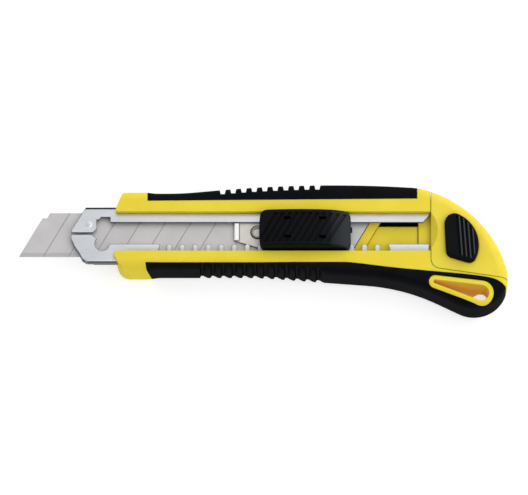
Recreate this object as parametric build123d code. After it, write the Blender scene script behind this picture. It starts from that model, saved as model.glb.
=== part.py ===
from build123d import *
import math
import os

# Utility knife with an 18 mm snap-off blade and a magazine of spare blades, lying on its back.
# Millimetres. +X runs to the tail, +Y to the spine of the blade, +Z to the face with the thumb slider.

# A length well past the object, for cutters that run right through it
FAR = 120.0

# Handle
THICKNESS = 18.0
EDGE_ROUND = 4.0
BACK_CENTRE = (50.1, -26.6)
BACK_RADIUS = 46.5
BACK_START_X = 60.0
TAIL_RADIUS = 13.2
TAIL_LOWEST_Y = -31.1
TAIL_END_ANGLE = -116.1
CREST_START = (-18.0, 17.85)
CREST_MIDDLE = (26.0, 19.95)
CREST_BEND = 25.0
DIP_BEND = 120.0
WAIST_X = 54.6
WAIST_BEND = 75.0
BELLY = (-2.5, -14.7)
BELLY_BEND = 150.0
TOP_STEP = [(-45.8, 16.95), (-42.6, 16.5)]
BOTTOM_STEP = [(-41.6, -14.7), (-44.6, -15.25)]
STEP_BEND = 15.0
NOSE_OVERRUN_X = -70.0
NOSE_LOW = (-58.9, -15.25)
NOSE_MIDDLE = (-58.8, 7.8)
NOSE_HIGH = (-55.2, 16.95)
NOSE_LOWER_CORNER = 7.0
NOSE_UPPER_CORNER = 2.4
NOSE_LEAN_DEG = 4.0
RAIL_CORNER = 0.9

THROUGH = (-1.0, THICKNESS + 1.0)

# Soft grips
GRIP_WRAP = 3.0
UPPER_GRIP_X = (-45.8, 60.0)
UPPER_GRIP_Y = (12.5, 13.4)
LOWER_GRIP_START = (-46.6, -12.7)
LOWER_GRIP_EDGE = [(30.0, -12.7), (41.5, -13.8), (65.0, -16.35), (80.0, -17.8), (87.5, -18.9),
                   (91.3, -20.1), (96.0, -23.2)]
LOWER_GRIP_EDGE_END_SLOPE = -0.7
LOWER_GRIP_LEAN_DEG = 10.0
NOTCH_PITCH = 4.13
NOTCH_OVERCUT = 1.5
NOTCH_CORNER = 0.4
UPPER_NOTCHES = 10
UPPER_NOTCH_START_X = -16.3
UPPER_NOTCH_FLOOR = 1.6
UPPER_NOTCH_FLARES = (0.4, 0.4)
UPPER_NOTCH_DEPTH = 2.7
LOWER_NOTCHES = 12
LOWER_NOTCH_START_X = -24.3
LOWER_NOTCH_FLOOR = 0.9
LOWER_NOTCH_FLARES = (0.5, 1.7)
LOWER_NOTCH_DEPTH = 1.75

# Lanyard hole, a drop shape from a small end to a large end
EYE_SMALL = (67.0, -20.7)
EYE_LARGE = (84.9, -25.3)
EYE_RIM = (2.5, 4.9)
EYE_HOLE = (0.75, 3.1)
EYE_FLARE_SHIFT = 1.4
EYE_FLARE_RADIUS = 3.9
EYE_FLARE_DEPTH = 6.0

# Slot between the rails, and the seam of the cap
SLOT_HALF = 8.05
SEAM_X = 65.2
SEAM_LINE_START = (69.3, -15.5)
SEAM_SLOPE_DEG = -8.6
SEAM_CORNER = 4.0
SEAM_GAP = 0.2

# Steel channel
SHEET = 0.8
CHANNEL_X = (-80.0, 64.8)
CHANNEL_Y = (-11.9, 10.8)
CHANNEL_Z = (11.5, 15.3)
CHANNEL_BEND = 0.9
LIP_HALF_GAP = 4.5
FIT = 0.1
TOOTH_PITCH = 5.1
TOOTH_WIDTH = 2.1
TOOTH_COUNT = 17
TOOTH_SIDES = 12
FIRST_TOOTH_X = -37.2
TOOTH_ROOT_Y = -7.4
TEETH_X = (-41.6, 49.4)
TEETH_END_LEAN = 0.8
JAW_UPPER = [(-75.8, -1.6), (-75.6, 1.3), (-70.1, 10.4), (-69.4, 12.0)]
JAW_LOWER = [(-69.0, -12.0), (-71.3, -10.5), (-72.4, -8.4), (-74.3, -5.5), (-75.8, -2.2)]
UPPER_LIP_END_X = 62.3
UPPER_LIP_CORNER_Y = 7.6
LOWER_LIP_END_X = 64.6
SLIT_Y = (-0.6, 0.25)
KEYHOLE_UPPER = [(-64.1, 6.6), (-64.8, 5.55), (-65.8, 5.55), (-65.7, 1.8), (-67.7, -0.2)]
KEYHOLE_LOWER = [(-67.7, -0.6), (-65.7, -2.4)]
KEYHOLE_POCKET = (-63.6, -4.4)
KEYHOLE_POCKET_RADIUS = 2.85
KEYHOLE_END_X = -60.4
DIMPLE = (-68.7, 3.6)
DIMPLE_RADIUS = 1.3
DIMPLE_HEIGHT = 0.2

# Blades
BLADE_HALF = 9.0
BLADE_THICK = 0.5
BLADE_TIP_X = -96.2
BLADE_LENGTH = 98.5
BLADE_Z = 12.45
BLADE_LEAN_DEG = 60.0
BEVEL = 1.6
EDGE_FLAT = 0.06
SCORE_FIRST_X = -81.5
SCORE_PITCH = 9.95
SCORE_COUNT = 7
SCORE_WIDTH = 0.25
SCORE_DEPTH = 0.1
TIP_NOTCH = (1.8, 2.1)
PIN_CENTRE = (-2.6, 0.7)
PIN_RADIUS = 2.8
BLADE_HOLE_RADIUS = 3.0
SPARE_SHIFT = 30.6
SPARE_COUNT = 5
SPARE_TOP_Z = 11.85
SPARE_PITCH = 0.6

# Slider
KNOB_X = (-2.0, 33.9)
KNOB_HALF = 7.45
KNOB_Z = (15.5, 23.6)
KNOB_BOW = 0.8
KNOB_CORNER = 2.6
KNOB_EDGE = 0.6
KNOB_FRONT_Z = 22.2
KNOB_CROWN_X = 13.0
KNOB_SLOPE_START = (26.0, 22.8)
KNOB_SLOPE_MIDDLE = (30.9, 21.1)
KNOB_SLOPE_END = (35.0, 18.2)
NUB_LENGTH = 0.6
NUB_Y = (0.0, 1.6)
NUB_TOP_Z = 17.6
NECK_X = (1.2, 32.0)
NECK_HALF = 4.2
WINDOW_SIZE = (2.7, 1.25)
WINDOWS = [(9.0, 3.85), (9.0, -3.85), (22.8, 3.85), (22.8, -3.85)]
RIB_PITCH = 2.7
RIB_COUNT = 11
RIB_HALF = 5.9
RIB_FIRST_X = 0.6
RIB_GROOVE = 1.2
RIB_DEPTH = 0.6
DETENT_X = 16.35
DETENT_Y = (-6.9, -5.3)
DETENT_HALF_LENGTH = 8.5
DETENT_Z = 15.7
DETENT_NOSE_Z = 14.7
DETENT_NOSE_HALF = 0.4
DETENT_NOSE_RAMP = 0.9
DETENT_POCKET_TOP_Z = 17.3
LEAF = 0.4
PLATE_Z = (13.15, 14.15)
PLATE_FRONT_X = -11.9
PLATE_LIP_WIDTH = 2.2
PLATE_LIP_Y = (-2.7, 4.2)
PLATE_LIP_Z = 14.9
PLATE_LIP_ROUND = 0.6
PLATE_SIDES = [(-2.5, -5.6), (6.0, -8.2), (33.0, -8.2), (33.0, 9.0), (-6.0, 9.0)]
TAB_TOP_Z = 17.0
TAB_GAP = 0.1
PIN_STAND = 0.45
PIN_CHAMFER = 0.35
PIN_DISH_RADIUS = 1.75
PIN_DISH_DEPTH = 0.6

# Magazine
TRAY_FRONT_X = -67.0
TRAY_HALF = 10.3
TRAY_WALL = 1.0
TRAY_Z = (6.8, 11.4)
BRIDGE_X = 60.5
BRIDGE_Z = 12.3
TONGUE_END_X = 60.3
TONGUE_Y = (-8.5, 3.9)
TONGUE_Z = (10.1, 11.3)
TONGUE_RIB_WIDTH = 4.0
TONGUE_RIB_Y = (-8.5, 8.5)
STACK_GAP = 0.3
MAGAZINE_LEAF_X = (-45.0, 30.0)
MAGAZINE_LEAF_HALF = 5.0
MAGAZINE_LEAF_RISE = 1.15

# Cap, button and latch
CAP_WALL = 2.4
CAP_ROOF_Z = 15.2
CAP_PAD_X = 69.3
CAP_PAD_Z = 13.6
SCOOP_CENTRE = (56.2, 0.3, 26.0)
SCOOP_RADIUS = 14.26
SPIGOT_X = 69.0
SPIGOT_Z = (2.7, 12.3)
SPIGOT_TOP_Y = 11.0
SPIGOT_GAP = 0.3
BUTTON_TOP_Z = 21.0
BUTTON_EDGE = 0.5
BUTTON_GAP = 0.15
BUTTON_CENTRE = (70.75, -5.8)
BUTTON_RADIUS = 13.1
BUTTON_LEFT = [(70.7, 7.3), (71.5, -11.5)]
BUTTON_FOOT = [(71.4, -10.3), (84.2, -14.3)]
BUTTON_TOP_CORNER = 3.6
BUTTON_FOOT_CORNER = 2.4
FLANGE = 0.9
FLANGE_Z = (13.6, 15.0)
GRIP_GROOVES = 5
GRIP_GROOVE_PITCH = 1.65
GRIP_GROOVE_START = (76.15, -3.0)
GRIP_GROOVE = (0.9, 0.8)
GRIP_GROOVE_LEAN_DEG = 4.0
GRIP_GROOVE_MARGIN = 1.0
LATCH_X = (66.4, 86.8)
LATCH_Y = (-8.0, -3.0)
LATCH_Z = 13.1
LATCH_HOOK_Z = 11.3
POST_X = (85.0, 88.0)
POST_Y = (-9.0, -2.0)


def block(x_range, y_range, z_range):
    """Box between two limits on each axis."""
    size = [limits[1] - limits[0] for limits in (x_range, y_range, z_range)]
    centre = [(limits[0] + limits[1]) / 2 for limits in (x_range, y_range, z_range)]
    return Pos(*centre) * Box(*size)


def prism(plan, z_range):
    """Plan shape raised from one height to another."""
    return Pos(0, 0, z_range[0]) * extrude(plan, amount=z_range[1] - z_range[0], dir=(0, 0, 1))


def polygon(points):
    return Polygon(*points, align=None)


def drop(small_radius, large_radius):
    """Drop shape of the lanyard hole: two circles and their common tangents."""
    small = Pos(*EYE_SMALL) * Circle(small_radius)
    large = Pos(*EYE_LARGE) * Circle(large_radius)
    return make_hull([*small.edges(), *large.edges()])


def seam_y(x):
    """Height of the straight part of the seam, along which the cap slides off."""
    return SEAM_LINE_START[1] + (x - SEAM_LINE_START[0]) * math.tan(math.radians(SEAM_SLOPE_DEG))


def lean_x(y):
    """Shift in x of a line that leans like the ends of a blade."""
    return y / math.tan(math.radians(BLADE_LEAN_DEG))


def nearest_corner(plan, point):
    """Corner of a plan shape closest to a place."""
    x, y = tuple(point)[:2]
    return plan.vertices().sort_by_distance((x, y, 0))[0]


# Handle envelope

def handle_plan(inset=0.0):
    """Side view of the whole handle, run on past the nose so that its long edges round evenly."""
    start_angle = math.degrees(math.acos((BACK_START_X - BACK_CENTRE[0]) / BACK_RADIUS))
    reach = BACK_RADIUS - TAIL_RADIUS
    meet_angle = math.degrees(math.asin((TAIL_LOWEST_Y + TAIL_RADIUS - BACK_CENTRE[1]) / reach))
    meet = math.radians(meet_angle)
    tail_centre = (BACK_CENTRE[0] + reach * math.cos(meet), BACK_CENTRE[1] + reach * math.sin(meet))
    back = CenterArc(BACK_CENTRE, BACK_RADIUS, start_angle, meet_angle - start_angle)
    tail = CenterArc(tail_centre, TAIL_RADIUS, meet_angle, TAIL_END_ANGLE - meet_angle)
    crest = ThreePointArc(CREST_START, CREST_MIDDLE, back @ 0)
    rise, fall = crest % 0, tail % 1
    dip_y = TOP_STEP[-1][1]
    dip = (CREST_START[0] - (CREST_START[1] - dip_y) * rise.X / rise.Y, dip_y)
    tail_end = tail @ 1
    waist = (WAIST_X, tail_end.Y + (WAIST_X - tail_end.X) * fall.Y / fall.X)
    nose = [(NOSE_OVERRUN_X, BOTTOM_STEP[-1][1]), (NOSE_OVERRUN_X, TOP_STEP[0][1])]
    corners = [tail_end, waist, BELLY, *BOTTOM_STEP, *nose, *TOP_STEP, dip, crest @ 0]
    straights = [Line(a, b) for a, b in zip(corners, corners[1:])]
    plan = make_face([crest, back, tail, *straights])
    bends = [(waist, WAIST_BEND), (BELLY, BELLY_BEND), (back @ 0, CREST_BEND), (dip, DIP_BEND)]
    bends += [(corner, STEP_BEND) for corner in (*BOTTOM_STEP, *TOP_STEP)]
    for corner, radius in bends:
        plan = fillet(nearest_corner(plan, corner), radius)
    return offset(plan, amount=-inset) if inset else plan


def nose_limit():
    """Plan shape that trims the handle to its blunt nose."""
    behind = NOSE_LOW[0] + 2 * NOSE_LOWER_CORNER
    rear = [(behind, FAR), (FAR, FAR), (FAR, -FAR), (behind, -FAR)]
    plan = polygon([NOSE_LOW, NOSE_MIDDLE, NOSE_HIGH, (behind, NOSE_HIGH[1]), *rear, (behind, NOSE_LOW[1])])
    plan = fillet(nearest_corner(plan, NOSE_LOW), NOSE_LOWER_CORNER)
    return fillet(nearest_corner(plan, NOSE_HIGH), NOSE_UPPER_CORNER)


def nose_room():
    """Room behind the nose, whose front leans back towards the rear face."""
    base, top = THROUGH
    lean = math.radians(NOSE_LEAN_DEG)
    foot = Pos((THICKNESS - base) * math.tan(lean), 0, base) * nose_limit()
    return extrude(foot, amount=(top - base) / math.cos(lean), dir=(-math.sin(lean), 0, math.cos(lean)))


def handle_envelope():
    """The whole outside of the handle, grips and cap together."""
    solid = prism(handle_plan(), (0, THICKNESS))
    rims = solid.faces().sort_by(Axis.Z)
    long_edges = [edge for face in (rims[0], rims[-1]) for edge in face.edges()
                  if edge.center().X > NOSE_OVERRUN_X + 1]
    solid = fillet(long_edges, EDGE_ROUND)
    return solid & nose_room()


def core_space():
    """Inside of the soft grips: the yellow core that they wrap."""
    return prism(handle_plan(GRIP_WRAP), (GRIP_WRAP, THICKNESS - GRIP_WRAP))


# Grips

def upper_grip_plan():
    left, right = UPPER_GRIP_X
    return polygon([(left, UPPER_GRIP_Y[0]), (right, UPPER_GRIP_Y[1]), (right, FAR), (left, FAR)])


def lower_grip_plan():
    boundary = Spline(*LOWER_GRIP_EDGE, tangents=[(1, 0), (1, LOWER_GRIP_EDGE_END_SLOPE)])
    around = [LOWER_GRIP_EDGE[-1], (FAR, -FAR), (LOWER_GRIP_START[0], -FAR), LOWER_GRIP_START]
    sides = [Line(a, b) for a, b in zip(around, around[1:])]
    return make_face([Line(LOWER_GRIP_START, LOWER_GRIP_EDGE[0]), boundary, *sides])


def lower_grip_front():
    """Room in front of the lower grip, whose end leans back towards the rear face."""
    room = Pos(-FAR / 2, 0, 0) * Box(FAR, 2 * FAR, FAR)
    return Pos(LOWER_GRIP_START[0], 0, THICKNESS) * Rot(0, -LOWER_GRIP_LEAN_DEG, 0) * room


def outline_y(plan, x, top):
    """Height of the handle's outline at one place along it."""
    cut = plan & Pos(x, 0) * Rectangle(0.01, 2 * FAR)
    box = cut.bounding_box()
    return box.max.Y if top else box.min.Y


def notches(count, first_x, floor, flares, depth, top):
    """Row of notches across an edge of the handle, flared and with broken corners at the mouth."""
    plan = handle_plan()
    side = 1 if top else -1
    spread = NOTCH_CORNER + NOTCH_OVERCUT
    cutters = []
    for index in range(count):
        left = first_x + index * NOTCH_PITCH - floor / 2
        right = left + floor
        rim = outline_y(plan, left + floor / 2, top)
        inner, neck, outer = [rim + side * step for step in (-depth, -NOTCH_CORNER, NOTCH_OVERCUT)]
        wide = (left - flares[0], right + flares[1])
        mouth = [(wide[1], neck), (wide[1] + spread, outer), (wide[0] - spread, outer), (wide[0], neck)]
        cutters.append(prism(polygon([(left, inner), (right, inner), *mouth]), THROUGH))
    return cutters


def grips(envelope):
    """Both grips without notches, and with them."""
    core = core_space()
    rim = prism(drop(*EYE_RIM), THROUGH)
    upper = (envelope & prism(upper_grip_plan(), THROUGH)) - core
    lower = (envelope & prism(lower_grip_plan(), THROUGH)) - core - rim - lower_grip_front()
    upper_cut = upper - notches(UPPER_NOTCHES, UPPER_NOTCH_START_X, UPPER_NOTCH_FLOOR,
                                UPPER_NOTCH_FLARES, UPPER_NOTCH_DEPTH, True)
    lower_cut = lower - notches(LOWER_NOTCHES, LOWER_NOTCH_START_X, LOWER_NOTCH_FLOOR,
                                LOWER_NOTCH_FLARES, LOWER_NOTCH_DEPTH, False)
    return upper, lower, upper_cut, lower_cut


# Handle body

def cap_space():
    """Plan shape of the room that the cap takes out of the handle."""
    corner = (SEAM_X, seam_y(SEAM_X))
    plan = polygon([(SEAM_X, FAR), corner, (FAR, seam_y(FAR)), (FAR, FAR)])
    return fillet(nearest_corner(plan, corner), SEAM_CORNER)


def spigot():
    """Block on the handle over which the cap slides, with the notch for the latch."""
    low = CAP_WALL + SPIGOT_GAP
    corners = [(SEAM_X, seam_y(SEAM_X) + low), (SPIGOT_X, seam_y(SPIGOT_X) + low)]
    plan = polygon([*corners, (SPIGOT_X, SPIGOT_TOP_Y), (SEAM_X, SPIGOT_TOP_Y)])
    gap = SPIGOT_GAP
    hook = block((LATCH_X[0] - gap, LATCH_X[0] + LEAF + gap), (LATCH_Y[0] - gap, LATCH_Y[1] + gap),
                 (LATCH_HOOK_Z - gap, THICKNESS))
    return prism(plan, SPIGOT_Z) - hook


def eye_hole():
    """Drop-shaped hole for a cord, opened out on one side at the rear face."""
    x, y = EYE_LARGE
    flare = Cone(EYE_FLARE_RADIUS, EYE_HOLE[1] - EYE_FLARE_SHIFT, EYE_FLARE_DEPTH)
    return prism(drop(*EYE_HOLE), THROUGH) + Pos(x, y + EYE_FLARE_SHIFT, EYE_FLARE_DEPTH / 2) * flare


def handle_body(envelope, upper, lower):
    solid = envelope - prism(cap_space(), THROUGH) - upper - lower - eye_hole()
    to_seam = (-FAR, SEAM_X + 1)
    solid -= block(to_seam, (-SLOT_HALF, SLOT_HALF), (CHANNEL_Z[1], THICKNESS + 1))
    solid -= block(to_seam, (CHANNEL_Y[0] - FIT, CHANNEL_Y[1] + FIT), (CHANNEL_Z[0], CHANNEL_Z[1] + FIT))
    solid -= block((-FAR, BRIDGE_X), (-TRAY_HALF - FIT, TRAY_HALF + FIT), (TRAY_Z[0], CHANNEL_Z[0] + FIT))
    bridge_half = TRAY_HALF - TRAY_WALL
    bridge = block((BRIDGE_X, SEAM_X), (-bridge_half, bridge_half), (TRAY_Z[1], BRIDGE_Z))
    rail_end = (NOSE_MIDDLE[0], SLOT_HALF, (CHANNEL_Z[1] + THICKNESS) / 2)
    solid = fillet(solid.edges().sort_by_distance(rail_end)[0], RAIL_CORNER)
    return solid + bridge + spigot()


# Steel channel

def channel_section():
    """C section of the bent sheet, closed at the top for now."""
    width = CHANNEL_Y[1] - CHANNEL_Y[0]
    height = CHANNEL_Z[1] - CHANNEL_Z[0]
    outside = RectangleRounded(width, height, CHANNEL_BEND)
    inside = RectangleRounded(width - 2 * SHEET, height - 2 * SHEET, CHANNEL_BEND - SHEET + 0.1)
    centre = ((CHANNEL_Y[0] + CHANNEL_Y[1]) / 2, (CHANNEL_Z[0] + CHANNEL_Z[1]) / 2)
    across = Plane(origin=(CHANNEL_X[0], centre[0], centre[1]), x_dir=(0, 1, 0), z_dir=(1, 0, 0))
    return extrude(across * (outside - inside), amount=CHANNEL_X[1] - CHANNEL_X[0], dir=(1, 0, 0))


def channel_plan():
    """Pointed jaws in front, and the slanted rear ends of the lips."""
    above, below = JAW_UPPER[-1][1], JAW_LOWER[0][1]
    rear = CHANNEL_X[1]
    upper_end = [(rear, above), (rear, UPPER_LIP_CORNER_Y), (UPPER_LIP_END_X, LIP_HALF_GAP)]
    lower_end = [(LOWER_LIP_END_X, 0.0), (LOWER_LIP_END_X, below)]
    return polygon([*JAW_UPPER, *upper_end, *lower_end, *JAW_LOWER])


def keyhole():
    """Opening behind the jaws, joined to the slit in front and the gap between the lips behind."""
    gap_low, gap_high = -LIP_HALF_GAP, LIP_HALF_GAP
    end = KEYHOLE_END_X
    shape = polygon([(end, KEYHOLE_UPPER[0][1]), *KEYHOLE_UPPER, *KEYHOLE_LOWER,
                     (KEYHOLE_LOWER[-1][0], gap_low), (end, gap_low)])
    shape += Pos(*KEYHOLE_POCKET) * Circle(KEYHOLE_POCKET_RADIUS)
    shape -= polygon([(end, -FAR), (0, -FAR), (0, FAR), (end, FAR)])
    slit_end = KEYHOLE_LOWER[0][0] + 1
    slit = polygon([(-FAR, SLIT_Y[0]), (slit_end, SLIT_Y[0]), (slit_end, SLIT_Y[1]), (-FAR, SLIT_Y[1])])
    start = end - FIT
    return shape + slit + polygon([(start, gap_low), (FAR, gap_low), (FAR, gap_high), (start, gap_high)])


def tooth_gaps():
    """Room between the blunt teeth of the lower lip."""
    left, right = TEETH_X
    top = FIT - LIP_HALF_GAP
    room = polygon([(left, TOOTH_ROOT_Y), (left + TEETH_END_LEAN, top), (right - TEETH_END_LEAN, top),
                    (right, TOOTH_ROOT_Y)])
    radius = TOOTH_WIDTH / 2
    for index in range(TOOTH_COUNT):
        x = FIRST_TOOTH_X + index * TOOTH_PITCH
        crown = -LIP_HALF_GAP - radius
        room -= Pos(x, crown) * RegularPolygon(radius, TOOTH_SIDES)
        room -= Pos(x, (crown + TOOTH_ROOT_Y - 1) / 2) * Rectangle(TOOTH_WIDTH, crown - TOOTH_ROOT_Y + 1)
    return room


def floor_window():
    """Opening in the floor through which the spare blades rise, slanted like them in front."""
    half = BLADE_HALF + STACK_GAP
    front = BLADE_TIP_X + SPARE_SHIFT - STACK_GAP
    return polygon([(front + lean_x(BLADE_HALF - half), -half), (front + lean_x(BLADE_HALF + half), half),
                    (70, half), (70, -half)])


def blade_channel():
    lip_z = (CHANNEL_Z[1] - 2 * SHEET, CHANNEL_Z[1] + 1)
    solid = channel_section() & prism(channel_plan(), THROUGH)
    solid -= prism(keyhole(), lip_z)
    solid -= prism(tooth_gaps(), lip_z)
    solid -= prism(floor_window(), (CHANNEL_Z[0] - 1, CHANNEL_Z[0] + 2 * SHEET))
    ball = (DIMPLE_RADIUS ** 2 + DIMPLE_HEIGHT ** 2) / (2 * DIMPLE_HEIGHT)
    bump = Pos(*DIMPLE, CHANNEL_Z[1] + DIMPLE_HEIGHT - ball) * Sphere(ball)
    return solid + (bump - block((-FAR, FAR), (-FAR, FAR), (-FAR, CHANNEL_Z[1] - SHEET / 2)))


# Blades

def blade():
    """Blade with its ground edge at the bottom, still without score lines."""
    bottom, top = -BLADE_HALF, BLADE_HALF
    run = lean_x(top - bottom)
    left, right = BLADE_TIP_X, BLADE_TIP_X + BLADE_LENGTH
    wide, tall = TIP_NOTCH
    shoulder = left + lean_x(top - tall - bottom)
    plan = polygon([(left, bottom), (shoulder, top - tall), (shoulder + wide, top - tall),
                    (left + run + wide, top), (right + run, top), (right, bottom)])
    plan -= Pos(*PIN_CENTRE) * Circle(BLADE_HOLE_RADIUS)
    solid = prism(plan, (0, BLADE_THICK))
    flat = (BLADE_THICK - EDGE_FLAT) / 2
    for face_z, side in ((0.0, 1), (BLADE_THICK, -1)):
        past = bottom - FIT
        corners = [(bottom + BEVEL, face_z), (past, face_z + side * flat), (past, face_z - side)]
        section = Plane(origin=(left - 5, 0, 0), x_dir=(0, 1, 0), z_dir=(1, 0, 0)) * polygon(corners)
        solid -= extrude(section, amount=BLADE_LENGTH + 30, dir=(1, 0, 0))
    return solid


def scored(solid):
    """Blade with the score lines at which its segments snap off."""
    for index in range(SCORE_COUNT):
        x = SCORE_FIRST_X + index * SCORE_PITCH
        groove = Box(30, SCORE_WIDTH, 2 * SCORE_DEPTH)
        solid -= Pos(x, 0, BLADE_THICK) * Rot(0, 0, BLADE_LEAN_DEG) * groove
    return solid


# Slider

def knob_side(lowered=0.0):
    """Side view of the knob: arched crown and a rear end that slopes down."""
    base, top = KNOB_Z
    front = KNOB_X[0] - 1
    crown = ThreePointArc((front, KNOB_FRONT_Z), (KNOB_CROWN_X, top), KNOB_SLOPE_START)
    slope = ThreePointArc(KNOB_SLOPE_START, KNOB_SLOPE_MIDDLE, KNOB_SLOPE_END)
    around = [KNOB_SLOPE_END, (KNOB_SLOPE_END[0], base), (front, base), (front, KNOB_FRONT_Z)]
    sides = [Line(a, b) for a, b in zip(around, around[1:])]
    upright = Plane(origin=(0, -FAR / 2, -lowered), x_dir=(1, 0, 0), z_dir=(0, -1, 0))
    return extrude(upright * make_face([crown, slope, *sides]), amount=FAR, dir=(0, 1, 0))


def knob_plan():
    """Foot of the knob: a slightly bowed front end and rounded corners."""
    left, right = KNOB_X
    half = KNOB_HALF
    corners = [(left + KNOB_BOW, -half), (right, -half), (right, half), (left + KNOB_BOW, half)]
    front = ThreePointArc(corners[-1], (left, 0), corners[0])
    plan = make_face([front, *[Line(a, b) for a, b in zip(corners, corners[1:])]])
    return fillet(plan.vertices(), KNOB_CORNER)


def knob_ribs():
    """Slanted grooves between the ribs, which follow the crown at an even depth."""
    low, high = -lean_x(RIB_HALF), lean_x(RIB_HALF)
    wide = RIB_GROOVE / math.sin(math.radians(BLADE_LEAN_DEG))
    plan = polygon([(low, -RIB_HALF), (low + wide, -RIB_HALF), (high + wide, RIB_HALF), (high, RIB_HALF)])
    across = prism(plan, (KNOB_Z[0], KNOB_Z[1] + 1))
    under = knob_side(RIB_DEPTH)
    return [Pos(RIB_FIRST_X + index * RIB_PITCH, 0, 0) * across - under for index in range(RIB_COUNT)]


def slider_knob():
    base, top = KNOB_Z
    right = KNOB_X[1]
    solid = prism(knob_plan(), KNOB_Z) & knob_side()
    crown = [edge for edge in solid.edges() if edge.bounding_box().min.Z > base + 2]
    solid = chamfer(crown, KNOB_EDGE)
    solid -= knob_ribs()
    solid += block(NECK_X, (-NECK_HALF, NECK_HALF), (PLATE_Z[1], base + 1))
    solid += block((right - 1.5, right + NUB_LENGTH), NUB_Y, (base, NUB_TOP_Z))
    for x, y in WINDOWS:
        solid -= Pos(x, y, top) * Box(*WINDOW_SIZE, 2 * (top - PLATE_Z[1]) + 1)
    reach = DETENT_HALF_LENGTH + TAB_GAP
    pocket_y = (DETENT_Y[0] - TAB_GAP, DETENT_Y[1] + TAB_GAP)
    return solid - block((DETENT_X - reach, DETENT_X + reach), pocket_y, (base - 1, DETENT_POCKET_TOP_Z))


def carrier_plate():
    """Steel plate that runs under the lips, with the bent front edge and four tabs into the knob."""
    front = PLATE_FRONT_X
    plan = polygon([(front, PLATE_LIP_Y[0]), *PLATE_SIDES, (front, PLATE_LIP_Y[1])])
    solid = prism(plan, PLATE_Z)
    lip = block((front, front + PLATE_LIP_WIDTH), PLATE_LIP_Y, (PLATE_Z[0], PLATE_LIP_Z))
    ridge = lip.edges().filter_by(Axis.Y).sort_by(Axis.Z)[-2:]
    solid += fillet(ridge, PLATE_LIP_ROUND)
    tab = [side - 2 * TAB_GAP for side in WINDOW_SIZE]
    height = TAB_TOP_Z - PLATE_Z[0]
    for x, y in WINDOWS:
        solid += Pos(x, y, PLATE_Z[0] + height / 2) * Box(*tab, height)
    return solid - Pos(*PIN_CENTRE, PLATE_Z[0]) * Cylinder(PIN_RADIUS, THICKNESS)


def blade_pin():
    """Eyelet through the carrier, in the hole of the running blade, with a dished head."""
    base = BLADE_Z
    head = PLATE_Z[1] + PIN_STAND
    solid = Pos(*PIN_CENTRE, (base + head) / 2) * Cylinder(PIN_RADIUS, head - base)
    solid = chamfer(solid.edges().sort_by(Axis.Z)[-1], PIN_CHAMFER)
    return solid - Pos(*PIN_CENTRE, head) * Cylinder(PIN_DISH_RADIUS, 2 * PIN_DISH_DEPTH)


def detent_spring():
    """Leaf in the knob whose nose drops into a gap between the teeth."""
    x, reach = DETENT_X, DETENT_HALF_LENGTH
    under, nose = DETENT_Z, DETENT_NOSE_Z
    half, foot = DETENT_NOSE_HALF, DETENT_NOSE_HALF + DETENT_NOSE_RAMP
    ends = [(x + reach, under), (x + reach, under + LEAF), (x - reach, under + LEAF), (x - reach, under)]
    corners = [(x - foot, under), (x - half, nose), (x + half, nose), (x + foot, under), *ends]
    upright = Plane(origin=(0, DETENT_Y[0], 0), x_dir=(1, 0, 0), z_dir=(0, -1, 0))
    return extrude(upright * polygon(corners), amount=DETENT_Y[1] - DETENT_Y[0], dir=(0, 1, 0))


# Magazine

def magazine_tray():
    """Tray for the spare blades, with a slanted closed front and an open rear."""
    low, rim = TRAY_Z
    half = TRAY_HALF
    inner = half - TRAY_WALL
    left, right = TRAY_FRONT_X, BRIDGE_X - FIT
    front = left + TRAY_WALL
    outside = polygon([(left, -half), (left + lean_x(2 * half), half), (right, half), (right, -half)])
    past = right + 1
    inside = polygon([(front, -inner), (front + lean_x(2 * inner), inner), (past, inner), (past, -inner)])
    return prism(outside, (low, rim)) - prism(inside, (low + TRAY_WALL, rim + 1))


def stop_tongue():
    """Springy tongue whose slanted rib stands behind the tails of the spare blades."""
    low, high = TONGUE_RIB_Y
    tail = BLADE_TIP_X + BLADE_LENGTH + SPARE_SHIFT + STACK_GAP + lean_x(BLADE_HALF)
    corners = [(tail + lean_x(low), low), (tail + lean_x(high), high)]
    right = [(tail + TONGUE_RIB_WIDTH + lean_x(high), high), (tail + TONGUE_RIB_WIDTH + lean_x(low), low)]
    rib = prism(polygon([*corners, *right]), (TONGUE_Z[0], BRIDGE_Z))
    strip = polygon([corners[0], (tail + lean_x(TONGUE_Y[1]), TONGUE_Y[1]), (TONGUE_END_X, TONGUE_Y[1]),
                     (TONGUE_END_X, low)])
    strip = prism(strip, TONGUE_Z)
    return rib + strip


def magazine_spring():
    """Bowed leaf under the stack of spare blades."""
    left, right = MAGAZINE_LEAF_X
    under = TRAY_Z[0] + TRAY_WALL + 0.02
    middle = (left + right) / 2
    rise = under + MAGAZINE_LEAF_RISE
    lower = ThreePointArc((left, under), (middle, rise), (right, under))
    upper = ThreePointArc((right, under + LEAF), (middle, rise + LEAF), (left, under + LEAF))
    section = make_face([lower, Line(lower @ 1, upper @ 0), upper, Line(upper @ 1, lower @ 0)])
    upright = Plane(origin=(0, -MAGAZINE_LEAF_HALF, 0), x_dir=(1, 0, 0), z_dir=(0, -1, 0))
    return extrude(upright * section, amount=2 * MAGAZINE_LEAF_HALF, dir=(0, 1, 0))


# Cap

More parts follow.
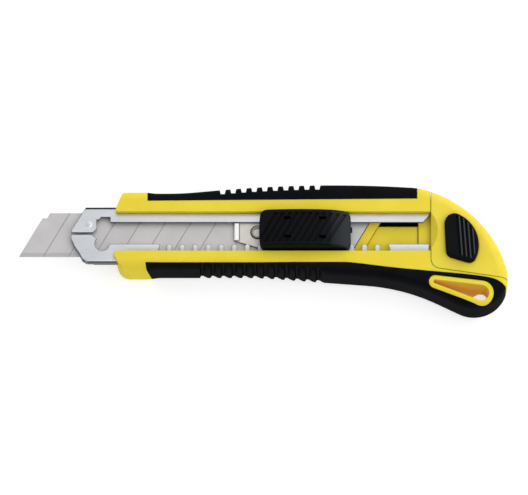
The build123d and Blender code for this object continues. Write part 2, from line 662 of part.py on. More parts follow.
def button_plan(grow=0.0):
    """Outline of the release button: part of a circle with a straight side and a slanted foot."""
    top, heel = BUTTON_LEFT
    start, end = BUTTON_FOOT
    slope = (end[1] - start[1]) / (end[0] - start[0])
    foot = [(x, start[1] + (x - start[0]) * slope) for x in (heel[0], FAR)]
    above = (top[0], FAR)
    plan = Pos(*BUTTON_CENTRE) * Circle(BUTTON_RADIUS) & polygon([above, top, *foot, (FAR, FAR)])
    corners = [(top, BUTTON_TOP_CORNER), (foot[0], BUTTON_FOOT_CORNER), (end, BUTTON_FOOT_CORNER)]
    for corner, radius in corners:
        plan = fillet(nearest_corner(plan, corner), radius)
    return offset(plan, amount=grow) if grow else plan


def release_button():
    base, rim = FLANGE_Z
    solid = prism(button_plan(), (base, BUTTON_TOP_Z))
    solid = chamfer(solid.faces().sort_by(Axis.Z)[-1].edges(), BUTTON_EDGE)
    wide, deep = GRIP_GROOVE
    x, y = GRIP_GROOVE_START
    rows = Sketch() + [Pos(x + index * GRIP_GROOVE_PITCH, y) * Rot(0, 0, GRIP_GROOVE_LEAN_DEG)
                       * Rectangle(wide, 3 * BUTTON_RADIUS) for index in range(GRIP_GROOVES)]
    solid -= prism(rows & button_plan(-GRIP_GROOVE_MARGIN), (BUTTON_TOP_Z - deep, BUTTON_TOP_Z + 1))
    return solid + prism(button_plan(FLANGE), (base, rim))


def magazine_cap(envelope):
    """Hollow rear cap, open at the seam, with the thumb scoop and the hole for the button."""
    room = offset(cap_space(), amount=-SEAM_GAP, kind=Kind.INTERSECTION)
    solid = envelope & prism(room, THROUGH)
    low = CAP_WALL
    left = SEAM_X - 5
    above = polygon([(left, seam_y(left) + low), (FAR, seam_y(FAR) + low), (FAR, FAR), (left, FAR)])
    hollow = prism(handle_plan(CAP_WALL) & above, (CAP_WALL, CAP_ROOF_Z))
    pad = block((left - 1, CAP_PAD_X), (-FAR, FAR), (CAP_PAD_Z, CAP_ROOF_Z + 1))
    solid -= hollow - pad
    solid -= Pos(*SCOOP_CENTRE) * Sphere(SCOOP_RADIUS)
    solid -= prism(button_plan(BUTTON_GAP), (CAP_ROOF_Z - 1, THICKNESS + 1))
    return solid + block(POST_X, POST_Y, (CAP_WALL / 2, LATCH_Z))


def latch_spring():
    """Leaf under the button, its hooked end in the notch of the handle."""
    left, right = LATCH_X
    strip = block((left, right), LATCH_Y, (LATCH_Z, LATCH_Z + LEAF))
    hook = block((left, left + LEAF), LATCH_Y, (LATCH_HOOK_Z, LATCH_Z + LEAF))
    return strip + hook


def all_parts():
    envelope = handle_envelope()
    upper, lower, upper_cut, lower_cut = grips(envelope)
    one_blade = blade()
    parts = {
        "handle_body": handle_body(envelope, upper, lower),
        "upper_grip": upper_cut,
        "lower_grip": lower_cut,
        "blade_channel": blade_channel(),
        "snap_blade": Pos(0, 0, BLADE_Z) * scored(one_blade),
        "slider_knob": slider_knob(),
        "carrier_plate": carrier_plate(),
        "blade_pin": blade_pin(),
        "detent_spring": detent_spring(),
        "magazine_tray": magazine_tray(),
        "stop_tongue": stop_tongue(),
        "magazine_spring": magazine_spring(),
        "magazine_cap": magazine_cap(envelope),
        "release_button": release_button(),
        "latch_spring": latch_spring(),
    }
    for index in range(SPARE_COUNT):
        lift = SPARE_TOP_Z - index * SPARE_PITCH
        parts[f"spare_blade_{index + 1}"] = Pos(SPARE_SHIFT, 0, lift) * one_blade
    return parts


os.makedirs("parts", exist_ok=True)
for name, solid in all_parts().items():
    solid.label = name
    export_step(solid, f"parts/{name}.step")
    size = [round(value, 2) for value in solid.bounding_box().size]
    print(name, size, round(solid.volume, 1), len(solid.solids()))
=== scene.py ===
# %% [markdown]
# # A utility knife with snap-off blades
# The solids of the knife come ready made: the yellow handle, its two soft grips, the steel channel, the
# blade and the small parts of the magazine. What is left for Blender is the look of each piece: how moulded
# plastic, soft rubber, plated sheet and ground blade steel take the light. We load the solids first and
# never move them, so every finish sits where the real piece is.

# %% Load the knife
import math

import bpy
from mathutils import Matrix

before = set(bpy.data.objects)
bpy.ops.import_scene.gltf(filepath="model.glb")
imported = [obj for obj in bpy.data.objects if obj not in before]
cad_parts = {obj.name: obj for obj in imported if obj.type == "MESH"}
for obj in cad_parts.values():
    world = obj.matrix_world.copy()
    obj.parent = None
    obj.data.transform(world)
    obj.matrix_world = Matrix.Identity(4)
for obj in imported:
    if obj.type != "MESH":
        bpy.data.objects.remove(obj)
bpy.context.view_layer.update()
print("pieces of the knife:", ", ".join(sorted(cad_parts)))

# %% [markdown]
# ## Where the photographer stood
# The knife lies on its back and the camera looks down on it, leaning a little towards the cutting edge, so
# the lower flanks show and the upper ones hide. The lens is long: the teeth of the channel keep an even
# pitch from end to end. We set a long lens far away, and let the width of the picture in millimetres fix the
# focal length. Lengths are in metres, unless a name says millimetres.

# %% Camera
MM_PER_M = 1000.0
PICTURE_WIDTH_PX = 528
PX_PER_MM = 2.55
VIEW_ELEVATION = math.radians(72.0)
VIEW_DISTANCE = 5.0
AIM = (-0.0001, -0.00095, 0.0)
FACE_HEIGHT = 0.015
SENSOR_WIDTH_MM = 36.0


def add_camera():
    lens = bpy.data.cameras.new("view_of_the_knife")
    picture_width = PICTURE_WIDTH_PX / PX_PER_MM / MM_PER_M
    distance_to_face = VIEW_DISTANCE - FACE_HEIGHT * math.sin(VIEW_ELEVATION)
    lens.sensor_width = SENSOR_WIDTH_MM
    lens.lens = SENSOR_WIDTH_MM * distance_to_face / picture_width
    lens.clip_end = 2 * VIEW_DISTANCE
    camera = bpy.data.objects.new("view_of_the_knife", lens)
    bpy.context.collection.objects.link(camera)
    back = VIEW_DISTANCE * math.cos(VIEW_ELEVATION)
    up = VIEW_DISTANCE * math.sin(VIEW_ELEVATION)
    camera.location = (AIM[0], AIM[1] - back, AIM[2] + up)
    camera.rotation_euler = (math.pi / 2 - VIEW_ELEVATION, 0.0, 0.0)
    bpy.context.scene.camera = camera
    return camera


camera = add_camera()
print(f"camera with a {camera.data.lens:.0f} mm lens, {VIEW_DISTANCE} m away")

# %% [markdown]
# ## Wiring nodes together
# In Blender the look of a surface, and of the room around it, is a small graph of nodes. It could be clicked
# together in the node editor, but then every finish would be a drawing of its own. With a few short helpers
# that add a node, join two of them or read out an axis, each look below can be read line by line.

# %% Helpers for nodes
def add_node(look, kind):
    """New node in a look, which is a material or the room."""
    return look.node_tree.nodes.new(kind)


def join(look, output, socket):
    look.node_tree.links.new(output, socket)


def split_axes(look, vector):
    """X, Y and Z of a place or a direction."""
    parts = add_node(look, "ShaderNodeSeparateXYZ")
    join(look, vector, parts.inputs["Vector"])
    return parts.outputs


def ramp_of(look, amount, low, high, start=0.0, end=1.0):
    """Runs evenly from start, where the amount is low, to end, where it is high, and no further."""
    spread = add_node(look, "ShaderNodeMapRange")
    spread.inputs["From Min"].default_value = low
    spread.inputs["From Max"].default_value = high
    spread.inputs["To Min"].default_value = start
    spread.inputs["To Max"].default_value = end
    join(look, amount, spread.inputs["Value"])
    return spread.outputs["Result"]


print("helpers ready: nodes, links, axes and ramps")

# %% [markdown]
# ## A pale table and soft light
# The photograph shows a white background and very faint shadows, as large soft lights give them. A wide plane
# stands for the table. It glows, like a light table, which keeps the shadows pale and sends light up through
# the lanyard hole. One broad panel stands high in front and to the right and lights the face of the knife. A
# larger, dimmer one stands behind on the far right and lights the round of the tail. The room is about half
# as bright in front as it is behind the knife, because flat steel mirrors what lies behind it and the lower
# flanks should stay darker than the face.

# %% Table and lights
WHITE = (1.0, 1.0, 1.0)
TABLE_HALF = 2.0
TABLE_DROP = 0.0002
TABLE_GREY = 0.42
TABLE_GLOW = 0.66
TABLE_ROUGHNESS = 0.7
ROOM_FRONT = 0.42
ROOM_BEHIND = 0.92
ROOM_FADE = (-0.6, 0.4)


def table_white():
    finish = bpy.data.materials.new("table_white")
    finish.use_nodes = True
    shader = finish.node_tree.nodes["Principled BSDF"]
    shader.inputs["Base Color"].default_value = (TABLE_GREY, TABLE_GREY, TABLE_GREY, 1.0)
    shader.inputs["Roughness"].default_value = TABLE_ROUGHNESS
    shader.inputs["Emission Color"].default_value = (*WHITE, 1.0)
    shader.inputs["Emission Strength"].default_value = TABLE_GLOW
    return finish


def add_table():
    signs = [(-1, -1), (1, -1), (1, 1), (-1, 1)]
    corners = [(x * TABLE_HALF, y * TABLE_HALF, -TABLE_DROP) for x, y in signs]
    mesh = bpy.data.meshes.new("table")
    mesh.from_pydata(corners, [], [(0, 1, 2, 3)])
    table = bpy.data.objects.new("table", mesh)
    bpy.context.collection.objects.link(table)
    mesh.materials.append(table_white())


def add_panel(name, place, size, power):
    """Soft rectangular light that points at the middle of the knife."""
    light = bpy.data.lights.new(name, "AREA")
    light.shape = "RECTANGLE"
    light.size, light.size_y = size
    light.energy = power
    panel = bpy.data.objects.new(name, light)
    bpy.context.collection.objects.link(panel)
    panel.location = place
    aim = -panel.location
    panel.rotation_euler = aim.to_track_quat("-Z", "Y").to_euler()


def add_room():
    """Pale room whose light grows from the front wall to the one behind the knife."""
    room = bpy.data.worlds.new("pale_room")
    room.use_nodes = True
    direction = add_node(room, "ShaderNodeTexCoord")
    depth = split_axes(room, direction.outputs["Generated"])["Y"]
    walls = room.node_tree.nodes["Background"]
    walls.inputs["Color"].default_value = (*WHITE, 1.0)
    join(room, ramp_of(room, depth, *ROOM_FADE, ROOM_FRONT, ROOM_BEHIND), walls.inputs["Strength"])
    bpy.context.scene.world = room


add_table()
add_panel("overhead_panel", place=(0.38, -0.34, 0.92), size=(0.8, 0.8), power=4.5)
add_panel("right_panel", place=(0.60, 0.66, 0.66), size=(1.8, 1.1), power=3.5)
add_room()
bpy.context.scene.view_settings.view_transform = "Standard"
print("table, two panels and a pale room")

# %% [markdown]
# ## How the finishes are built
# Each finish is one Principled shader. A material with a single flat colour looks like a drawing, so each
# gets clouds that shift its colour a little, and a fine grain that drives a bump and small changes of
# roughness. Both are noise read in the piece's own space, because the solids have no unwrapped surface to
# paint on, and so the grain also moves with the piece. A Bevel node under the bump softens the hard edges of
# the solids by a fraction of a millimetre, as a mould or a tumbling drum would.

# %% A finish, its colour and its grain
GRAIN_LOW = 0.3
GRAIN_HIGH = 0.7
GRAIN_DETAIL = 3.0
EVEN = (1.0, 1.0, 1.0)


def start_finish(name, metallic=0.0, gloss=0.5):
    finish = bpy.data.materials.new(name)
    finish.use_nodes = True
    shader = finish.node_tree.nodes["Principled BSDF"]
    shader.inputs["Metallic"].default_value = metallic
    shader.inputs["Specular IOR Level"].default_value = gloss
    return finish, shader


def coat(shader, weight, roughness):
    """Thin clear skin over the body of a plastic, which carries its sheen."""
    shader.inputs["Coat Weight"].default_value = weight
    shader.inputs["Coat Roughness"].default_value = roughness


def paint(finish, shader, colour):
    join(finish, colour, shader.inputs["Base Color"])


def grain_of(finish, size_mm, stretch=EVEN):
    """Noise whose lumps measure about size_mm, drawn out along an axis where stretch is over one."""
    place = add_node(finish, "ShaderNodeTexCoord")
    scale = add_node(finish, "ShaderNodeMapping")
    scale.inputs["Scale"].default_value = [MM_PER_M / size_mm / draw for draw in stretch]
    noise = add_node(finish, "ShaderNodeTexNoise")
    noise.inputs["Scale"].default_value = 1.0
    noise.inputs["Detail"].default_value = GRAIN_DETAIL
    join(finish, place.outputs["Object"], scale.inputs["Vector"])
    join(finish, scale.outputs["Vector"], noise.inputs["Vector"])
    return noise.outputs["Fac"]


def blend_of(finish, amount, first, last, low=GRAIN_LOW, high=GRAIN_HIGH):
    """Colour that runs from first to last as the amount runs from low to high."""
    ramp = add_node(finish, "ShaderNodeValToRGB")
    stops = zip(ramp.color_ramp.elements, (low, high), (first, last))
    for stop, position, colour in stops:
        stop.position = position
        stop.color = (*colour, 1.0)
    join(finish, amount, ramp.inputs["Fac"])
    return ramp.outputs["Color"]


def add_grain(finish, shader, size_mm, roughness, height_mm, edge_mm, stretch=EVEN):
    """Grain that varies the roughness and raises a bump, on top of edges softened by edge_mm."""
    grain = grain_of(finish, size_mm, stretch)
    rough = ramp_of(finish, grain, GRAIN_LOW, GRAIN_HIGH, *roughness)
    join(finish, rough, shader.inputs["Roughness"])
    soft = add_node(finish, "ShaderNodeBevel")
    soft.inputs["Radius"].default_value = edge_mm / MM_PER_M
    bump = add_node(finish, "ShaderNodeBump")
    bump.inputs["Distance"].default_value = height_mm / MM_PER_M
    join(finish, soft.outputs["Normal"], bump.inputs["Normal"])
    join(finish, grain, bump.inputs["Height"])
    join(finish, bump.outputs["Normal"], shader.inputs["Normal"])


print("helpers ready: coat, colour, roughness and bump")

# %% [markdown]
# ## Where a finish changes
# Real pieces aren't one colour all over, and light and shade vary over them too: seams hold shade, and
# slopes and crests catch a sheen, so some of each is painted. A mask for each could be painted by hand, but
# an amount measured on the piece follows its shape by itself. The first such amount is how sheltered a point
# is. The other helpers here mix colours by an amount.

# %% Shelter and mixing
SHELTER_SAMPLES = 12


def shelter_of(finish, reach_mm, own_walls_only=False):
    """Zero deep in a crevice, one on open surfaces, judged within reach_mm."""
    shelter = add_node(finish, "ShaderNodeAmbientOcclusion")
    shelter.samples = SHELTER_SAMPLES
    shelter.only_local = own_walls_only
    shelter.inputs["Distance"].default_value = reach_mm / MM_PER_M
    return shelter.outputs["AO"]


def start_mix(finish, under):
    mix = add_node(finish, "ShaderNodeMix")
    mix.data_type = "RGBA"
    join(finish, under, mix.inputs["A"])
    return mix


def lay_over(finish, amount, under, over):
    """Plain colour laid over another by an amount from zero to one."""
    mix = start_mix(finish, under)
    mix.inputs["B"].default_value = (*over, 1.0)
    join(finish, amount, mix.inputs["Factor"])
    return mix.outputs["Result"]


def darkened_by(finish, colour, *tints):
    """Colour darkened by one tint after another, where a white tint changes nothing."""
    for tint in tints:
        mix = start_mix(finish, colour)
        mix.blend_type = "MULTIPLY"
        mix.inputs["Factor"].default_value = 1.0
        join(finish, tint, mix.inputs["B"])
        colour = mix.outputs["Result"]
    return colour


print("helpers ready: shelter and mixing")

# %% [markdown]
# ## Yellow moulded handle
# The handle, the cap and the tongue of the magazine are one yellow plastic, moulded in a lightly textured
# tool. Light travels a few millimetres inside such a plastic before it comes out again, and subsurface
# scattering gives that. It doesn't give enough for the orange glow on the wall of the lanyard hole, so that
# glow is painted orange onto well enclosed walls, and narrow seams get a painted brown shade. The sheen is a
# thin clear coat. The cap has more of it, for the pale band round the tail, and the handle hardly any.

# %% Yellow plastic
YELLOWS = ((0.735, 0.590, 0.049), (0.775, 0.630, 0.060))
PAINTED_GLOW_ORANGE = (0.97, 0.62, 0.13)
SEAM_SHADE_BROWN = (0.30, 0.19, 0.10)
SCATTER_SHARE = 0.4
SCATTER_REACH = 0.003
SCATTER_BY_COLOUR = (1.0, 0.4, 0.05)


def scatter_light(shader):
    """Let light travel inside the plastic, red light the furthest."""
    shader.inputs["Subsurface Weight"].default_value = SCATTER_SHARE
    shader.inputs["Subsurface Radius"].default_value = SCATTER_BY_COLOUR
    shader.inputs["Subsurface Scale"].default_value = SCATTER_REACH


def yellow_plastic(name, coating):
    finish, shader = start_finish(name, gloss=0.0)
    coat(shader, weight=coating, roughness=0.26)
    scatter_light(shader)
    body = blend_of(finish, grain_of(finish, size_mm=14.0), *YELLOWS)
    own_shelter = shelter_of(finish, reach_mm=8.0, own_walls_only=True)
    enclosed = ramp_of(finish, own_shelter, low=0.70, high=0.35)
    # Painted orange glow on well enclosed walls.
    body = lay_over(finish, enclosed, body, PAINTED_GLOW_ORANGE)
    # Painted brown shade in narrow seams and crevices.
    shelter = shelter_of(finish, reach_mm=1.6)
    seam_shade = blend_of(finish, shelter, SEAM_SHADE_BROWN, WHITE, low=0.42, high=0.76)
    paint(finish, shader, darkened_by(finish, body, seam_shade))
    add_grain(finish, shader, size_mm=0.35, roughness=(0.28, 0.40), height_mm=0.005, edge_mm=0.6)
    return finish


handle_yellow = yellow_plastic("handle_yellow", coating=0.04)
cap_yellow = yellow_plastic("cap_yellow", coating=0.3)
print("finishes:", handle_yellow.name, "and", cap_yellow.name)

# %% [markdown]
# ## Soft grips
# The grips are a rubbery black moulded over the yellow core: dull, with a fine grain. A dark colour with the
# usual gloss would turn grey on flanks seen at a low angle. So the body is nearly black with no gloss of its
# own, and the little sheen there is comes from a thin coat.

# %% Soft black
GRIP_BLACKS = ((0.0022, 0.0024, 0.0036), (0.0040, 0.0043, 0.0060))


def soft_grip():
    finish, shader = start_finish("soft_grip", gloss=0.0)
    coat(shader, weight=0.07, roughness=0.42)
    paint(finish, shader, blend_of(finish, grain_of(finish, size_mm=9.0), *GRIP_BLACKS))
    add_grain(finish, shader, size_mm=0.28, roughness=(0.42, 0.58), height_mm=0.010, edge_mm=0.3)
    return finish


grip = soft_grip()
print("finish:", grip.name)

# %% [markdown]
# ## Hard black plastic
# The knob, the button and the tray are a harder black plastic, made like the grips but with a smoother coat.
# The slope at the rear of the knob faces the light and is painted a shade lighter, as a sheen. The slope
# could be marked by hand, but the direction that a surface faces already tells it from the rest. Crevices and
# grooves get a painted shade.

# %% Hard black
HARD_BLACKS = ((0.0034, 0.0037, 0.0050), (0.0052, 0.0056, 0.0072))
GROOVE_SHADE = (0.15, 0.15, 0.15)
PAINTED_SHEEN_BLACK = (0.028, 0.033, 0.039)


def facing_of(finish):
    """X, Y and Z of the direction that a point of the piece faces, each from minus one to one."""
    direction = add_node(finish, "ShaderNodeTexCoord")
    return split_axes(finish, direction.outputs["Normal"])


def black_plastic(name, sheen_mask=None, sheen_colour=None):
    """Hard black, painted with a lighter sheen colour where the given mask is one."""
    finish, shader = start_finish(name, gloss=0.0)
    coat(shader, weight=0.09, roughness=0.3)
    body = blend_of(finish, grain_of(finish, size_mm=6.0), *HARD_BLACKS)
    # Painted sheen where the mask is one.
    if sheen_mask:
        body = lay_over(finish, sheen_mask(finish), body, sheen_colour)
    # Painted shade in crevices and grooves.
    shelter = shelter_of(finish, reach_mm=1.0)
    grooves = blend_of(finish, shelter, GROOVE_SHADE, WHITE, low=0.4, high=0.95)
    paint(finish, shader, darkened_by(finish, body, grooves))
    add_grain(finish, shader, size_mm=0.22, roughness=(0.32, 0.46), height_mm=0.006, edge_mm=0.25)
    return finish


# Faces turned towards the tail, which get the painted sheen on the knob.
def rear_slope(finish):
    return ramp_of(finish, facing_of(finish)["X"], low=0.08, high=0.5)


black = black_plastic("black_plastic")
knob_black = black_plastic("knob_black", rear_slope, PAINTED_SHEEN_BLACK)
print("finishes:", black.name, "and", knob_black.name)

# %% [markdown]
# ## Finding a place on a piece
# Some changes belong to a place: a ring round a pin, a row of lines across a button or a blade. A picture
# would need an unwrapped surface, so we calculate with the coordinates of the point, in millimetres. For a
# row of lines the coordinate across it is counted in pitches and folded back and forth at half a pitch, which
# gives the distance to the nearest line.

# %% Helpers for places
HALF_PITCH = 0.5


def calculate(finish, operation, first, second=None):
    """Math node whose inputs are outputs of other nodes or plain numbers."""
    step = add_node(finish, "ShaderNodeMath")
    step.operation = operation
    for socket, value in zip(step.inputs, (first, second)):
        if isinstance(value, (int, float)):
            socket.default_value = value
        elif value is not None:
            join(finish, value, socket)
    return step.outputs["Value"]


def product_of(finish, amount, *others):
    for other in others:
        amount = calculate(finish, "MULTIPLY", amount, other)
    return amount


def place_in_mm(finish):
    """X, Y and Z of a point of the piece, in the millimetres of the knife at rest."""
    place = add_node(finish, "ShaderNodeTexCoord")
    scale = add_node(finish, "ShaderNodeVectorMath")
    scale.operation = "SCALE"
    scale.inputs["Scale"].default_value = MM_PER_M
    join(finish, place.outputs["Object"], scale.inputs[0])
    return split_axes(finish, scale.outputs["Vector"])


def distance_from(finish, centre_mm):
    """Distance in millimetres from the upright line through a centre in X and Y."""
    place = place_in_mm(finish)
    squares = []
    for axis, middle in zip("XY", centre_mm):
        step = calculate(finish, "SUBTRACT", place[axis], middle)
        squares.append(calculate(finish, "MULTIPLY", step, step))
    return calculate(finish, "SQRT", calculate(finish, "ADD", *squares))


def distance_to_line(finish, across, first, pitch, count):
    """Distance in pitches to the nearest of a row of lines, one or more outside the row."""
    pitches = calculate(finish, "DIVIDE", calculate(finish, "SUBTRACT", across, first), pitch)
    nearest = calculate(finish, "PINGPONG", pitches, HALF_PITCH)
    before = calculate(finish, "LESS_THAN", pitches, -HALF_PITCH)
    beyond = calculate(finish, "GREATER_THAN", pitches, count - HALF_PITCH)
    return calculate(finish, "ADD", nearest, calculate(finish, "ADD", before, beyond))


print("helpers ready: places, distances and rows of lines")

# %% [markdown]
# ## Crests of the button
# The button has a row of ridges, and their crests catch the light as thin bright lines. Each line could be a
# sliver of its own, but it is only a painted highlight, so it is drawn where the nearest line of the row is
# close. The lines stop short of the foot, and at the edge of the flat top, and the sides stay black.

# %% Button
# The crests carry a painted highlight.
CREST_HIGHLIGHT = (0.044, 0.048, 0.052)
BUTTON_CENTRE_MM = (70.75, -5.8)
BUTTON_RIM_MM = (12.6, 12.4)
BUTTON_TOP_MM = (20.6, 20.9)
BUTTON_FOOT_MM = (71.4, -10.3)
BUTTON_FOOT_SLOPE = -0.3125
FOOT_MARGIN_MM = (1.1, 1.5)
FIRST_CREST_MM = (76.975, -3.0)
CREST_PITCH_MM = 1.65
CREST_LEAN = math.tan(math.radians(4.0))
CREST_COUNT = 4
CREST_EDGE = (0.22, 0.10)


def crest_lines(finish, place):
    """One along the crests between the grooves of the button, zero in the grooves and beside them."""
    first_x, first_y = FIRST_CREST_MM
    across = calculate(finish, "ADD", place["X"], product_of(finish, place["Y"], CREST_LEAN))
    first = first_x + CREST_LEAN * first_y
    distance = distance_to_line(finish, across, first, CREST_PITCH_MM, CREST_COUNT)
    return ramp_of(finish, distance, *CREST_EDGE)


def above_foot(finish, place):
    """One over the top of the button, zero along its slanted foot."""
    foot_x, foot_y = BUTTON_FOOT_MM
    foot = foot_y - BUTTON_FOOT_SLOPE * foot_x
    height = calculate(finish, "ADD", place["Y"], product_of(finish, place["X"], -BUTTON_FOOT_SLOPE))
    return ramp_of(finish, height, *[foot + margin for margin in FOOT_MARGIN_MM])


def button_crest_highlights(finish):
    place = place_in_mm(finish)
    inside_rim = ramp_of(finish, distance_from(finish, BUTTON_CENTRE_MM), *BUTTON_RIM_MM)
    on_top = ramp_of(finish, place["Z"], *BUTTON_TOP_MM)
    return product_of(finish, crest_lines(finish, place), inside_rim, above_foot(finish, place), on_top)


button_black = black_plastic("button_black", button_crest_highlights, CREST_HIGHLIGHT)
print("finish:", button_black.name, "with", CREST_COUNT, "bright crests")

# %% [markdown]
# ## Edges of steel sheet
# Where plated sheet is cut or bent it turns away from the light, and little light gets in where two sheets
# meet, so both are painted darker, as shade. Lines this fine are hard to model, so three amounts find them:
# the direction faced, because flat sheet faces straight up or down and a cut or a bend doesn't; the shelter,
# for crevices; and how far a rounded edge would turn the surface, for a thin rim of painted shade along sharp
# edges.

# %% Helpers for sheet
CREVICE_GREY = (0.10, 0.10, 0.12)
RIM_SAMPLES = 8


def flatness_of(finish, width_mm):
    """One on open faces, falling along every sharp edge within about width_mm of it."""
    rounded = add_node(finish, "ShaderNodeBevel")
    rounded.samples = RIM_SAMPLES
    rounded.inputs["Radius"].default_value = width_mm / MM_PER_M
    sharp = add_node(finish, "ShaderNodeNewGeometry")
    alike = add_node(finish, "ShaderNodeVectorMath")
    alike.operation = "DOT_PRODUCT"
    join(finish, rounded.outputs["Normal"], alike.inputs[0])
    join(finish, sharp.outputs["Normal"], alike.inputs[1])
    return alike.outputs["Value"]


def rim_of(finish, width_mm, shade):
    """Painted shade along the sharp edges of a sheet."""
    return blend_of(finish, flatness_of(finish, width_mm), shade, WHITE, low=0.75, high=0.97)


def tint_of(finish, amount, shade):
    """Tint, such as a painted shade, that runs from nothing to the given colour as the amount runs from zero
    to one.
    """
    return blend_of(finish, amount, WHITE, shade, low=0.0, high=1.0)


def with_dark_edges(finish, metal, shade, low, high):
    """Metal painted darker, as shade, where it stands upright and where another sheet lies close to it."""
    up = calculate(finish, "ABSOLUTE", facing_of(finish)["Z"])
    edges = blend_of(finish, up, shade, WHITE, low, high)
    shelter = shelter_of(finish, reach_mm=1.2)
    crevices = blend_of(finish, shelter, CREVICE_GREY, WHITE, low=0.22, high=0.45)
    return darkened_by(finish, metal, edges, crevices)


print("helpers ready: rims, stains and dark edges")

# %% [markdown]
# ## Plated channel
# The channel is bright plated sheet, pale and slightly blue, with rolling marks along the length. The jaws
# at the nose are a little duller than the long lips. The bend on the far side is painted nearly black, as
# shade, and the lower lip beside the rail is painted duller and yellower, as a reflection of the yellow rail.
# Each of these could be a material of its own, with a hard border. A tint that fades in along or across the
# knife keeps the sheet in one piece.

# %% Plated sheet
PLATINGS = ((0.68, 0.695, 0.745), (0.76, 0.77, 0.82))
JAW_SHADE = (0.86, 0.88, 0.87)
FAR_BEND_SHADE = (0.03, 0.03, 0.03)
LOW_LIP_REFLECTION = (0.76, 0.75, 0.60)
SHEET_RIM_SHADE = (0.05, 0.05, 0.06)
SHEET_UPRIGHT_SHADE = (0.09, 0.09, 0.10)


def plated_sheet():
    finish, shader = start_finish("plated_sheet", metallic=1.0)
    plating = blend_of(finish, grain_of(finish, size_mm=5.0, stretch=(4.0, 1.0, 1.0)), *PLATINGS)
    place = place_in_mm(finish)
    jaws = ramp_of(finish, place["X"], low=-48.0, high=-66.0)
    # Painted shade on the far bend.
    far_bend = ramp_of(finish, place["Y"], low=9.6, high=10.0)
    # Painted yellow reflection of the rail on the lower lip, which also dulls it.
    behind_jaws = ramp_of(finish, place["X"], low=-60.0, high=-50.0)
    near_rail = ramp_of(finish, place["Y"], low=-5.0, high=-6.8)
    low_lip = product_of(finish, behind_jaws, near_rail)
    tints = [tint_of(finish, jaws, JAW_SHADE), tint_of(finish, far_bend, FAR_BEND_SHADE),
              tint_of(finish, low_lip, LOW_LIP_REFLECTION)]
    # Painted thin rim of shade along sharp edges.
    metal = darkened_by(finish, plating, *tints, rim_of(finish, width_mm=0.7, shade=SHEET_RIM_SHADE))
    paint(finish, shader, with_dark_edges(finish, metal, SHEET_UPRIGHT_SHADE, low=0.6, high=0.96))
    add_grain(finish, shader, size_mm=0.3, roughness=(0.26, 0.40), height_mm=0.002, edge_mm=0.35,
              stretch=(12.0, 1.0, 1.0))
    return finish


sheet = plated_sheet()
print("finish:", sheet.name)

# %% [markdown]
# ## Carrier, pin and springs
# The carrier is a warmer, duller sheet, and its front edge is bent up and painted nearly white, as a
# highlight. The pin in it has a dished face, and the edge of the dish is painted as a dark ring of shade. The
# springs are darker steel with a grind along their length. The carrier and the pin are made like the channel,
# from a colour, its painted shade and a grain. The springs lie hidden, so a colour and a grain will do.

# %% Carrier, pin and spring steel
CARRIER_GREYS = ((0.60, 0.57, 0.535), (0.655, 0.63, 0.59))
CARRIER_RIM = (0.20, 0.19, 0.19)
CARRIER_EDGE = (0.6, 0.6, 0.6)
EDGE_HIGHLIGHT = (0.90, 0.88, 0.86)
PIN_GREYS = ((0.64, 0.61, 0.57), (0.69, 0.665, 0.63))
PIN_DISH_SHADE = (0.30, 0.27, 0.25)
PIN_EDGE = (0.10, 0.10, 0.10)
PIN_CENTRE_MM = (-2.6, 0.7)
PIN_DISH_MM = (1.75, 1.90)
SPRING_GREYS = ((0.36, 0.37, 0.39), (0.44, 0.45, 0.47))


def carrier_sheet():
    finish, shader = start_finish("carrier_sheet", metallic=1.0)
    plain_sheet = blend_of(finish, grain_of(finish, size_mm=3.0), *CARRIER_GREYS)
    # Painted thin rim of shade along sharp edges.
    outlined = darkened_by(finish, plain_sheet, rim_of(finish, width_mm=0.6, shade=CARRIER_RIM))
    # The bent-up front edge gets a painted highlight.
    bent_up = ramp_of(finish, place_in_mm(finish)["Z"], low=14.4, high=14.6)
    metal = lay_over(finish, bent_up, outlined, EDGE_HIGHLIGHT)
    paint(finish, shader, with_dark_edges(finish, metal, CARRIER_EDGE, low=0.3, high=0.6))
    add_grain(finish, shader, size_mm=0.25, roughness=(0.36, 0.48), height_mm=0.002, edge_mm=0.15)
    return finish


def pin_steel():
    finish, shader = start_finish("pin_steel", metallic=1.0)
    dished = blend_of(finish, grain_of(finish, size_mm=2.0), *PIN_GREYS)
    # Painted dark ring of shade at the edge of the dish.
    dish_rim_shade = ramp_of(finish, distance_from(finish, PIN_CENTRE_MM), *PIN_DISH_MM)
    metal = lay_over(finish, dish_rim_shade, dished, PIN_DISH_SHADE)
    paint(finish, shader, with_dark_edges(finish, metal, PIN_EDGE, low=0.72, high=0.97))
    add_grain(finish, shader, size_mm=0.2, roughness=(0.32, 0.44), height_mm=0.002, edge_mm=0.08)
    return finish


def spring_steel():
    finish, shader = start_finish("spring_steel", metallic=1.0)
    paint(finish, shader, blend_of(finish, grain_of(finish, size_mm=4.0), *SPRING_GREYS))
    add_grain(finish, shader, size_mm=0.15, roughness=(0.30, 0.44), height_mm=0.002, edge_mm=0.08,
              stretch=(30.0, 1.0, 1.0))
    return finish


carrier = carrier_sheet()
pin = pin_steel()
spring = spring_steel()
print("finishes:", carrier.name, pin.name, "and", spring.name)

# %% [markdown]
# ## Blade steel
# The blade is ground, greyer than the channel, with a fine grind across it. It is only half metallic, because
# a full mirror would show the room in patches. The cutting edge slopes down and is a little greyer, and deep
# under the lips the blade is painted dark, as shade. The score lines, where the segments snap off, are
# shallow grooves in the solid. Their shade is painted too, with the helper that found the crests of the
# button.
# The spare blades are the same blade further back, which is why the finish takes a shift.

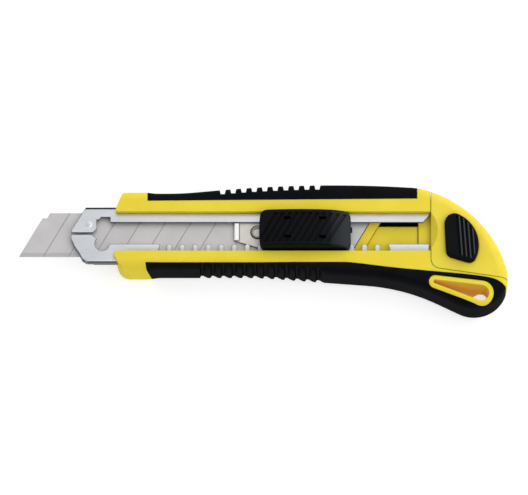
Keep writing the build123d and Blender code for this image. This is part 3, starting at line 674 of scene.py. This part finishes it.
# %% Blades
BLADE_GREYS = ((0.507, 0.491, 0.493), (0.557, 0.541, 0.543))
BLADE_CREVICE = (0.03, 0.03, 0.035)
CUTTING_EDGE_SHADE = (0.82, 0.82, 0.87)
SCORE_SHADE = (0.60, 0.60, 0.60)
SCORE_LEAN = math.radians(60.0)
FIRST_SCORE_MM = -81.5
SCORE_PITCH_MM = 9.95
SCORE_COUNT = 7
SCORE_HALF_WIDTH_MM = 0.21
SCORE_FADE = (0.4, 1.4)
SPARE_SHIFT_MM = 30.6


def score_lines(finish, shift_mm):
    """Painted shade along the score lines of a blade that lies shift_mm further back."""
    place = place_in_mm(finish)
    lean = product_of(finish, place["Y"], 1.0 / math.tan(SCORE_LEAN))
    across = calculate(finish, "SUBTRACT", place["X"], lean)
    first = FIRST_SCORE_MM + shift_mm
    distance = distance_to_line(finish, across, first, SCORE_PITCH_MM, SCORE_COUNT)
    fade = [SCORE_HALF_WIDTH_MM / SCORE_PITCH_MM * part for part in SCORE_FADE]
    return blend_of(finish, distance, SCORE_SHADE, WHITE, *fade)


def blade_steel(name, shift_mm):
    finish, shader = start_finish(name, metallic=0.5)
    ground = blend_of(finish, grain_of(finish, size_mm=8.0), *BLADE_GREYS)
    faces_edge = ramp_of(finish, facing_of(finish)["Y"], low=-0.02, high=-0.08)
    cutting_edge = tint_of(finish, faces_edge, CUTTING_EDGE_SHADE)
    # Painted shade deep under the lips.
    shelter = shelter_of(finish, reach_mm=2.5)
    crevices = blend_of(finish, shelter, BLADE_CREVICE, WHITE, low=0.27, high=0.38)
    metal = darkened_by(finish, ground, score_lines(finish, shift_mm), cutting_edge, crevices)
    paint(finish, shader, metal)
    add_grain(finish, shader, size_mm=0.12, roughness=(0.32, 0.46), height_mm=0.0015, edge_mm=0.05,
              stretch=(1.0, 60.0, 1.0))
    return finish


running_blade = blade_steel("blade_steel", shift_mm=0.0)
spare_blade = blade_steel("spare_blade_steel", SPARE_SHIFT_MM)
print("finishes:", running_blade.name, "and", spare_blade.name)

# %% [markdown]
# ## Dressing the pieces
# Every solid gets its finish in its first material slot. The list reads like a parts list, so a wrong finish
# is easy to spot.

# %% Put the finishes on
FINISHES = {
    "handle_body": handle_yellow, "magazine_cap": cap_yellow, "stop_tongue": handle_yellow,
    "upper_grip": grip, "lower_grip": grip,
    "slider_knob": knob_black, "release_button": button_black, "magazine_tray": black,
    "blade_channel": sheet, "carrier_plate": carrier, "blade_pin": pin,
    "snap_blade": running_blade,
    "detent_spring": spring, "latch_spring": spring, "magazine_spring": spring,
}


def finish_for(node):
    return spare_blade if node.startswith("spare_blade") else FINISHES[node]


def dress(node, piece):
    piece.data.materials.clear()
    piece.data.materials.append(finish_for(node))


for node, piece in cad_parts.items():
    dress(node, piece)
print("dressed", len(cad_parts), "pieces")

# %% [markdown]
# ## Done
# The knife is dressed.


print("knife dressed")
